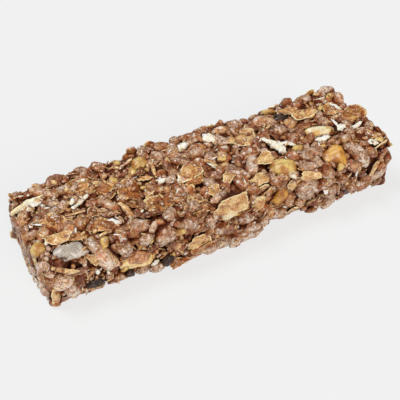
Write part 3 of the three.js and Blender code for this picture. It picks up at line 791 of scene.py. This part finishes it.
BROWN_CEREAL = syrup_coated(
    "brown_cereal", (0.55, 0.34, 0.21), (0.35, 0.125, 0.046), (0.1, 0.016, 0.004), glaze=0.65, painted_sheen=0.8
)
PALE_CEREAL = syrup_coated(
    "pale_cereal", (0.88, 0.65, 0.47), (0.74, 0.44, 0.26), (0.2, 0.06, 0.02), glaze=0.5, painted_sheen=0.8
)
TAN_CEREAL = syrup_coated(
    "tan_cereal", (0.68, 0.48, 0.34), (0.5, 0.235, 0.105), (0.12, 0.022, 0.005), glaze=0.6, painted_sheen=0.9
)
SYRUP = syrup_coated(
    "chocolate_syrup", (0.44, 0.18, 0.07), (0.26, 0.078, 0.022), (0.08, 0.015, 0.003), glaze=0.8, painted_sheen=0.2
)
RIMMED_FLAKE = syrup_coated(
    "rimmed_flake", (0.66, 0.35, 0.14), (0.42, 0.15, 0.04), (0.08, 0.014, 0.003),
    glaze=0.6, painted_sheen=0.5, bare_rim=0.9,
)
DARK_FLAKE = syrup_coated(
    "dark_flake", (0.36, 0.14, 0.06), (0.2, 0.055, 0.018), (0.05, 0.01, 0.003),
    glaze=0.8, painted_sheen=0.15, bare_rim=0.35,
)
RAISIN_SKIN = syrup_coated(
    "raisin_skin", (0.09, 0.05, 0.035), (0.03, 0.016, 0.011), (0.008, 0.004, 0.003), glaze=0.4, painted_sheen=0.05
)
OAT = bare(
    "rolled_oat", (0.84, 0.6, 0.28), (0.62, 0.3, 0.08), (0.26, 0.07, 0.018),
    rough=0.4, coat=0.4, cover=0.1, inner=0.0, rim_colour=(0.92, 0.77, 0.44), grainy=0.5,
)
NUT = bare(
    "peanut_flesh", (0.72, 0.52, 0.17), (0.42, 0.165, 0.025), (0.24, 0.07, 0.018),
    rough=0.42, coat=0.15, cover=-0.14, inner=0.2,
)
TOASTED_NUT = bare(
    "toasted_nut", (0.7, 0.38, 0.055), (0.4, 0.135, 0.016), (0.24, 0.065, 0.018),
    rough=0.42, coat=0.15, cover=-0.06, inner=0.2,
)
SPLIT_PEANUT = bare(
    "split_peanut", (0.84, 0.75, 0.5), (0.7, 0.43, 0.12), (0.45, 0.17, 0.05),
    rough=0.35, coat=0.45, cover=-0.2, inner=0.25,
)
PEANUT_IN_SKIN = bare(
    "peanut_in_skin", (0.96, 0.78, 0.42), (0.86, 0.56, 0.2), (0.3, 0.1, 0.035),
    rough=0.4, coat=0.3, cover=-0.4, inner=0.2, skinned=(0.7, 0.35, 0.145),
)
COCONUT = bare(
    "coconut_flesh", (0.9, 0.9, 0.86), (0.8, 0.74, 0.58), (0.5, 0.27, 0.12),
    rough=0.45, coat=0.2, cover=-0.16, inner=0.2,
)
SHADED_COCONUT = bare(
    "shaded_coconut", (0.64, 0.59, 0.53), (0.42, 0.36, 0.3), (0.16, 0.08, 0.045),
    rough=0.4, coat=0.3, cover=-0.1, inner=0.2,
)
YELLOWED_COCONUT = bare(
    "yellowed_coconut", (0.92, 0.89, 0.68), (0.82, 0.62, 0.26), (0.45, 0.22, 0.09),
    rough=0.45, coat=0.2, cover=-0.2, inner=0.2,
)

# The words of the tables above: each form's shape and the size of its grid, and each colour's material
FORMS = {
    "puff": (crisp_form, (28, 36)),
    "flake": (flake_form, (24, 44)),
    "shred": (shred_form, (24, 14)),
    "chunk": (chunk_form, (20, 24)),
    "sliver": (sliver_form, (20, 10)),
    "husk": (husk_form, (30, 24)),
}
COLOURS = {
    "brown": BROWN_CEREAL,
    "tan": TAN_CEREAL,
    "golden": OAT,
    "white": COCONUT,
    "black": RAISIN_SKIN,
    "rim": RIMMED_FLAKE,
    "nut": NUT,
    "red": DARK_FLAKE,
    "pale": PALE_CEREAL,
}
# The same for the CAD nodes' pieces: shape, material and slot, and the nodes that have their own
INCLUSION_FORMS = {
    "peanut": (peanut_form, NUT, "peanut"),
    "chunk": (chunk_form, NUT, "peanut"),
    "raisin": (raisin_form, RAISIN_SKIN, "raisin"),
    "coconut": (chunk_form, COCONUT, "coconut"),
}
OWN_SHAPE = {"coconut_strip": husk_form, "coconut_curl": husk_form, "coconut_rear": husk_form}
OWN_MATERIAL = {
    "coconut_chunk": SHADED_COCONUT,
    "coconut_curl": YELLOWED_COCONUT,
    "peanut_split": SPLIT_PEANUT,
    "peanut_skin": PEANUT_IN_SKIN,
    "peanut_cone": TOASTED_NUT,
    "peanut_pale": SPLIT_PEANUT,
    "peanut_front": TOASTED_NUT,
}
INCLUSION_GRID = (40, 56)

# The pieces of the CAD part, at the same places


def one(row, seed, tone=0.5):
    """The piece of a table's row."""
    side, (a, b), size, turn, proud = row[1:6]
    return Pieces.seated(side, a, b, size, turn, 0, proud, seed, tone)


def toned(rows, first_seed):
    """The pieces of a table's rows, each with the next seed and an evenly spread tone."""
    return [(row, one(row, n + first_seed, 0.35 + 0.5 * spread(n, "turn"))) for n, row in enumerate(rows)]


def spread_over(side, larger):
    """The rule's pieces on a side, by form, without those too near a larger piece.

    Too near is 0.24 times the sum of the larger one's length and width and 1.5 times the small one's width,
    and a third more than that round the pieces that are CAD nodes of their own.
    """
    count, crisps, flakes, crisp_proud = SIDES[side]
    n = np.arange(1, count + 1)
    start = np.array([-WIDTH / 2 if side in ENDS else -LENGTH / 2, -WIDTH / 2 if side == "top" else 0])
    span = np.array([WIDTH if side in ENDS else LENGTH, WIDTH if side == "top" else HEIGHT])
    kind = spread(n, "kind")
    forms = np.where(kind < crisps, "crisp", np.where(kind < crisps + flakes, "flake", "shred"))
    middling, share, tips = (np.array([KINDS[form][column] for form in forms]) for column in range(3))
    size = middling * (0.76 + 0.46 * spread(n, "size"))[:, None]
    margin = 0.36 * size[:, :1]
    at = start + margin + (span - 2 * margin) * np.stack([spread(n, "along"), spread(n, "across")], -1)
    turn, tilt = 360 * spread(n, "turn"), tips * (spread(n, "tilt") - 0.5)
    proud = crisp_proud * share * (0.7 + 0.6 * spread(n, "tilt"))
    made = Pieces.seated(side, at[:, 0], at[:, 1], size, turn, tilt, proud, n, kind)
    apart = np.linalg.norm(made.point[:, None] - larger.point[None], axis=-1)
    room = 0.24 * (larger.size[None, :, 0] + larger.size[None, :, 1] + 1.5 * size[:, None, 1])
    room[:, : len(INCLUSIONS)] *= 1.35
    kept = (apart >= room).all(axis=1)
    return {form: made.pick(kept & (forms == form)) for form in KINDS}


inclusions = {name: one(row, n + 1) for n, (name, row) in enumerate(INCLUSIONS.items())}
large, details = toned(LARGE_PIECES, 1), toned(DETAILS, 40)
larger = Pieces.joined([*inclusions.values(), *(piece for row, piece in large)])
by_side = [spread_over(side, larger) for side in SIDES]
small = {form: Pieces.joined([found[form] for found in by_side]) for form in KINDS}

# Finer pieces, which fill what the CAD part's leave bare

chance = np.random.default_rng(11)
# Each layer of finer pieces: breadth, tries, how close they lie, how far they stand out, height over breadth
# and grid
LAYERS = [
    (4.4, 1500, 0.78, 0.65, 0.85, (16, 20)),
    (3.4, 2300, 0.76, 0.45, 0.85, (13, 17)),
    (2.5, 3600, 0.72, 0.1, 0.85, (10, 13)),
    (1.8, 5200, 0.68, -0.2, 0.9, (8, 10)),
]
SEEDS = 60  # a scattered piece's seed lies between 0 and this, and its share of it chooses the kind
CRUMBS, CRUMB_GRID = 6000, (5, 7)
SLIVERS, SLIVER_GRID = 1500, (12, 6)
PRESSED_FLAKE = np.array([1.15, 1.15, 0.45])


def scattered(count, size, proud, tip):
    """Pieces at random places on the skin, as many on each side as its share of the area."""
    shares = np.array(list(AREAS.values())) / sum(AREAS.values())
    groups = []
    start = 0
    for side, number in zip(AREAS, (shares * count).astype(int)):
        lot = slice(start, start + number)
        start += number
        long = (WIDTH if side in ENDS else LENGTH) / 2 - 1.0
        low, high = (0.5 - WIDTH / 2, WIDTH / 2 - 0.5) if side == "top" else (0.3, HEIGHT - 1)
        a, b = chance.uniform(-long, long, number), chance.uniform(low, high, number)
        turn, tilt = chance.uniform(0, 360, number), chance.uniform(-tip, tip, number)
        seed, tone = chance.uniform(0, SEEDS, number), chance.uniform(0, 1, number)
        groups.append(Pieces.seated(side, a, b, size[lot], turn, tilt, proud[lot], seed, tone))
    return Pieces.joined(groups)


def clear_of_corners(made):
    """Whether pieces stay within the rounded left corner at the back and the worn right end."""
    x, y, reach = made.point[:, 0], made.point[:, 1], made.size[:, 0] / 2
    right = LENGTH / 2 + 0.6 - worn_away(y)
    left = -LENGTH / 2 + 0.4 * np.maximum(y - 11, 0)
    on_end = np.abs(made.outward[:, 0]) > 0.7
    return (x + 0.7 * reach < right) & (x > left) | on_end


def fillers(taken, breadth, tries, closeness, proud, squash):
    """Pieces about breadth wide, each kept if it is closeness times the two radii from those before it."""
    wide = breadth * chance.uniform(0.8, 1.15, tries)
    long = wide * chance.uniform(1.05, 1.9, tries)
    size = np.stack([long, wide, wide * squash * chance.uniform(0.75, 1.05, tries)], -1)
    made = scattered(tries, size, proud + chance.normal(0, 0.3, tries), 28)
    made = made.pick(chance.permutation(len(made)))
    made = made.pick(clear_of_corners(made))
    points, radii = taken
    kept = []
    for i, radius in enumerate(made.radius()):
        apart = np.linalg.norm(points - made.point[i], axis=1)
        if (apart > closeness * (radii + radius)).all():
            points = np.vstack([points, made.point[i]])
            radii = np.append(radii, radius)
            kept.append(i)
    return made.pick(np.array(kept)), (points, radii)


def reached(made, pieces):
    """How far above the skin pieces reach at the places of others: the highest of their ellipsoids there."""
    highest = np.full(len(made), FAR_BELOW)
    for i in range(len(pieces)):
        half = pieces.size[i] / 2
        offset = made.point - pieces.middle[i]
        facing = made.outward @ pieces.outward[i] > 0.8
        near = np.flatnonzero((np.abs(offset).max(axis=1) < half.max() * 1.2) & facing)
        axes = np.stack([pieces.along[i], pieces.across[i]], -1)
        inside = 1 - (((offset[near] @ axes) / half[:2]) ** 2).sum(axis=1)
        near, inside = near[inside > 0], inside[inside > 0]
        height = half[2] * np.sqrt(inside) - offset[near] @ pieces.outward[i]
        highest[near] = np.maximum(highest[near], height)
    return highest


def strewn(count, size, tip, on_pieces):
    """Crumbs or slivers, half sunk in what is under them: the syrup, and a share of them the pieces, with a
    quarter more on the top's left part. They keep off the edges, the foot and the larger pieces."""
    made = scattered(count, size, np.zeros(count), tip)
    top = reached(made, everything)
    share = on_pieces + 0.25 * ((made.outward[:, 2] > 0.9) & (made.point[:, 0] < -5))
    kept = (top < 0.1) | (chance.uniform(0, 1, len(top)) < share) & (reached(made, larger) < 0)
    kept &= (np.abs(made.outward).max(axis=1) > 0.95) & (made.point[:, 2] > 1.5) & (top > -1.0)
    made.middle = made.middle + made.outward * (np.maximum(top, -1.0)[:, None] + 0.4 * made.size[:, 2:])
    return made.pick(kept)


known = Pieces.joined([larger, *(piece for row, piece in details), *small.values()])
taken = (known.point, known.radius() * np.where(np.arange(len(known)) < len(larger), 1.06, 1.0))
layers = []
for rule in LAYERS:
    layer, taken = fillers(taken, *rule[:-1])
    layers.append(layer)
everything = Pieces.joined([known, *layers])

grit = 0.6 + 1.3 * chance.uniform(0, 1, CRUMBS) ** 1.6
crumb_size = np.stack([grit * chance.uniform(1, 1.8, CRUMBS), grit, grit * 0.8], -1)
crumbs = strewn(CRUMBS, crumb_size, 50, 0.07)
thin = chance.uniform(0.4, 0.75, SLIVERS)
long = thin * chance.uniform(3, 6, SLIVERS)
sliver_size = np.stack([long, thin, thin * chance.uniform(0.8, 1.4, SLIVERS)], -1)
slivers = strewn(SLIVERS, sliver_size, 12, 0.3)

# The objects


def sorted_out(name, pieces, lot, grid, rows, flake_size=1):
    """One object for each row of start, kind, form and material: the pieces whose lot lies between its start
    and the next row's."""
    ends = [*(row[0] for row in rows[1:]), np.inf]
    for (start, kind, form, material), end in zip(rows, ends):
        chosen = pieces.pick((lot >= start) & (lot < end))
        if form is flake_form:
            chosen.size = chosen.size * flake_size
        if len(chosen):
            moulded(name.format(kind), chosen, form, grid, material)


def make_inclusions():
    """The nuts, raisins and coconut that are CAD nodes of their own."""
    for name, piece in inclusions.items():
        form, material, slot = INCLUSION_FORMS[INCLUSIONS[name][0]]
        form, material = OWN_SHAPE.get(name, form), OWN_MATERIAL.get(name, material)
        moulded(f"{name}_piece", piece, form, INCLUSION_GRID, material, name)


def make_large_pieces():
    """The pieces of both tables, joined by colour and form."""
    for colour, material in COLOURS.items():
        for form, (shape, grid) in FORMS.items():
            chosen = [piece for row, piece in large + details if row[0] == form and row[6] == colour]
            if chosen:
                moulded(f"large_{form}_{colour}", Pieces.joined(chosen), shape, grid, material)


def make_small_pieces():
    """The crisps, flakes and shreds of the rule. A fourth of the flakes and a fifth of the shreds are bare
    oat, and a fifth of the shreds is coconut."""
    crisps, flakes, shreds = small["crisp"], small["flake"], small["shred"]
    rows = [(0, "brown", crisp_form, BROWN_CEREAL), (0.42, "tan", crisp_form, TAN_CEREAL)]
    sorted_out("crisps_{}", crisps, crisps.tone, (20, 26), rows)
    rows = [(0, "brown", flake_form, RIMMED_FLAKE), (1, "golden", flake_form, OAT)]
    sorted_out("flakes_{}", flakes, flakes.seed % 4 == 0, (18, 34), rows)
    rows = [(0, "white", shred_form, COCONUT), (1, "golden", shred_form, OAT)]
    rows += [(2, "brown", shred_form, TAN_CEREAL)]
    sorted_out("shreds_{}", shreds, shreds.seed % 5, (24, 10), rows)


def make_crumbs_and_slivers():
    """The finest pieces."""
    rows = [
        (0, "brown", chunk_form, BROWN_CEREAL),
        (0.55, "tan", chunk_form, TAN_CEREAL),
        (0.8, "golden", chunk_form, OAT),
        (0.96, "white", chunk_form, COCONUT),
    ]
    sorted_out("crumbs_{}", crumbs, crumbs.seed / SEEDS, CRUMB_GRID, rows)
    rows = [
        (0, "golden", sliver_form, OAT),
        (0.5, "brown", sliver_form, TAN_CEREAL),
        (0.88, "white", sliver_form, COCONUT),
    ]
    sorted_out("slivers_{}", slivers, slivers.seed / SEEDS, SLIVER_GRID, rows)


def make_finer_pieces():
    """The layers between the larger pieces, with more flakes on the top's left part and low on the front."""
    rows = [
        (0, "crisps", crisp_form, BROWN_CEREAL),
        (0.46, "dark_crisps", crisp_form, DARK_FLAKE),
        (0.52, "pale_crisps", crisp_form, TAN_CEREAL),
        (0.7, "oats", flake_form, OAT),
        (0.8, "flakes", flake_form, RIMMED_FLAKE),
        (0.89, "dark_flakes", flake_form, DARK_FLAKE),
        (0.93, "nuts", chunk_form, NUT),
        (0.975, "white", chunk_form, COCONUT),
    ]
    for n, layer in enumerate(layers):
        lot = layer.seed / SEEDS
        left_top = (layer.outward[:, 2] > 0.9) & (layer.point[:, 0] < -8)
        low_front = (layer.outward[:, 1] < -0.9) & (layer.point[:, 2] < 8)
        lot = np.where(left_top | low_front, 0.4 + 0.6 * lot, lot)
        sorted_out(f"finer_{{}}_{n}", layer, lot, LAYERS[n][-1], rows, PRESSED_FLAKE)


def block_rings():
    """Points of the sharp box in rings from end to end, and the rings' places along it.

    Each ring is the block's section, and the rings on an end shrink evenly towards its middle.
    """
    top, side, under, shrinking, along = 84, 52, 14, 38, 312
    edge = [np.linspace(0, 1, n, endpoint=False) for n in (top, side, under, side)]
    half = WIDTH / 2
    back, front = np.full(side, half), np.full(side, -half)
    y = np.concatenate([-half + WIDTH * edge[0], back, half - WIDTH * edge[2], front])
    z = np.concatenate([np.full(top, HEIGHT), HEIGHT * (1 - edge[1]), np.zeros(under), HEIGHT * edge[3]])
    lengths = np.linspace(-LENGTH / 2, LENGTH / 2, along)
    x = np.concatenate([np.full(shrinking, -LENGTH / 2), lengths, np.full(shrinking, LENGTH / 2)])
    shrink = np.linspace(0.02, 1, shrinking, endpoint=False)
    scale = np.concatenate([shrink, np.ones(along), shrink[::-1]])[:, None]
    return np.stack(np.broadcast_arrays(x[:, None], y * scale, HEIGHT / 2 + (z - HEIGHT / 2) * scale), -1), x


def pull_of_pieces(point, x, columns):
    """How far the syrup rises round the pieces, and how far it sinks round those that are CAD nodes.

    Each is the highest of humps of the distance outside a piece's outline, 0.5 mm and 0.9 mm wide.
    """
    lift, moat = np.zeros((2, len(point)))
    for i, middle in enumerate(everything.middle):
        half = everything.size[i] / 2
        reach = half.max() + 2
        first, last = np.searchsorted(x, (middle[0] - reach - 2, middle[0] + reach + 2))
        band = np.arange(first * columns, last * columns)
        near = band[np.abs(point[band] - middle).max(axis=1) < reach]
        axes = np.stack([everything.along[i], everything.across[i]], -1)
        outside = (np.linalg.norm((point[near] - middle) @ axes / half[:2], axis=1) - 1) * half[:2].mean()
        outside = np.maximum(outside, 0)
        if i < len(inclusions):
            moat[near] = np.maximum(moat[near], hump(outside, 0, 0.9))
        else:
            lift[near] = np.maximum(lift[near], hump(outside, 0, 0.5) * min(1.0, half[2] / 1.6))
    return lift, moat


def make_syrup():
    """The syrup between the pieces: the block's rings taken to the skin, in by the syrup's depth, out by its
    rise round the pieces, uneven by ripples, with pores in the valleys of another, and flat underneath."""
    box, x = block_rings()
    rows, columns = box.shape[:2]
    point, outward = (values.reshape(-1, 3) for values in skin(box))
    lift, moat = pull_of_pieces(point, x, columns)
    depth = SYRUP_DEPTH["sides"] + (SYRUP_DEPTH["top"] - SYRUP_DEPTH["sides"]) * np.maximum(outward[:, 2], 0)
    pores = valleys(point, 7.0, 3.2, 5)
    rise = -depth + 0.6 * lift * (1 - moat) + 0.4 * ripple(point, 2.0, 2.6) + 0.25 * ripple(point, 4.0, 1.3)
    rise = rise - 0.5 * pores - 0.9 * moat
    moved = point + outward * rise[:, None]
    moved[:, 2] = np.where(outward[:, 2] < -0.9, 0.0, np.maximum(moved[:, 2], 0.0))
    points = np.concatenate([moved, [moved[:columns].mean(axis=0), moved[-columns:].mean(axis=0)]])
    none = np.zeros(len(points))
    fields = {
        "tone": none + 0.4,
        "rise": np.concatenate([rise, rise[[0, -1]]]),
        "grain": points,
        "rim": none,
        "across": none,
        "crown": none - 0.3,
    }
    shown("syrup", mesh_of("syrup", points, *closed_tube(rows, columns), fields), SYRUP, node="bar")


# The floor, the light and the camera, in metres

FLOOR_REACH = 1.5
FLOOR_GREY, FLOOR_GLOW, DAYLIGHT = 0.12, 0.742, 0.26
# Each sun's direction, strength, spread in degrees and colour
SUNS = {
    "key": ((-0.35, 0.3, 0.9), 2.2, 20, (0.95, 1.0, 1.04)),
    "fill": ((0.1, -1.0, 0.6), 1.85, 30, (1.0, 0.91, 0.81)),
}
CAMERA_TURN, CAMERA_RISE = math.radians(-25.94), math.radians(45.7)
CAMERA_AIM, CAMERA_DISTANCE = Vector((-0.00226, -0.00233, 0.008)), 0.3252
FOCAL_LENGTH, SENSOR_WIDTH = 90, 36


def placed(name, data, towards):
    """An object in the scene that looks against a direction."""
    made = bpy.data.objects.new(name, data)
    made.rotation_euler = Vector(towards).to_track_quat("Z", "Y").to_euler()
    bpy.context.scene.collection.objects.link(made)
    return made


def lay_floor():
    """A square of pale floor that glows a little, so that shadows stay soft."""
    mesh = bpy.data.meshes.new("floor")
    corners = [(-FLOOR_REACH, -FLOOR_REACH, 0), (FLOOR_REACH, -FLOOR_REACH, 0)]
    corners += [(FLOOR_REACH, FLOOR_REACH, 0), (-FLOOR_REACH, FLOOR_REACH, 0)]
    mesh.from_pydata(corners, [], [(0, 1, 2, 3)])
    floor = bpy.data.objects.new("floor", mesh)
    bpy.context.scene.collection.objects.link(floor)
    paint = Surface("floor_paint").finish(
        Base_Color=(FLOOR_GREY, FLOOR_GREY, FLOOR_GREY, 1),
        Roughness=1.0,
        Specular_IOR_Level=0.0,
        Emission_Color=(1, 1, 1, 1),
        Emission_Strength=FLOOR_GLOW,
    )
    mesh.materials.append(paint)


def light_scene():
    """Even daylight, a cool key light from behind on the left and a warm fill light from the front."""
    world = bpy.data.worlds.new("daylight")
    world.use_nodes = True
    world.node_tree.nodes["Background"].inputs["Color"].default_value = (1.0, 1.0, 1.0, 1)
    world.node_tree.nodes["Background"].inputs["Strength"].default_value = DAYLIGHT
    bpy.context.scene.world = world
    for name, (towards, strength, spread_degrees, colour) in SUNS.items():
        lamp = bpy.data.lights.new(name, "SUN")
        lamp.color = colour
        lamp.energy, lamp.angle = strength, math.radians(spread_degrees)
        placed(name, lamp, towards)


def set_camera():
    """The camera at the photo's angle, and plain colours in the picture."""
    level = math.cos(CAMERA_RISE)
    back = Vector((math.sin(CAMERA_TURN) * level, -math.cos(CAMERA_TURN) * level, math.sin(CAMERA_RISE)))
    camera = placed("camera", bpy.data.cameras.new("camera"), back)
    camera.location = CAMERA_AIM + back * CAMERA_DISTANCE
    camera.data.lens, camera.data.sensor_width = FOCAL_LENGTH, SENSOR_WIDTH
    camera.data.clip_start, camera.data.clip_end = 0.01, 10
    bpy.context.scene.camera = camera
    view = bpy.context.scene.view_settings
    view.view_transform, view.look = "Standard", "None"
    view.exposure, view.gamma = 0.0, 1.0


make_inclusions()
make_large_pieces()
make_small_pieces()
make_crumbs_and_slivers()
make_finer_pieces()
make_syrup()
lay_floor()
light_scene()
set_camera()
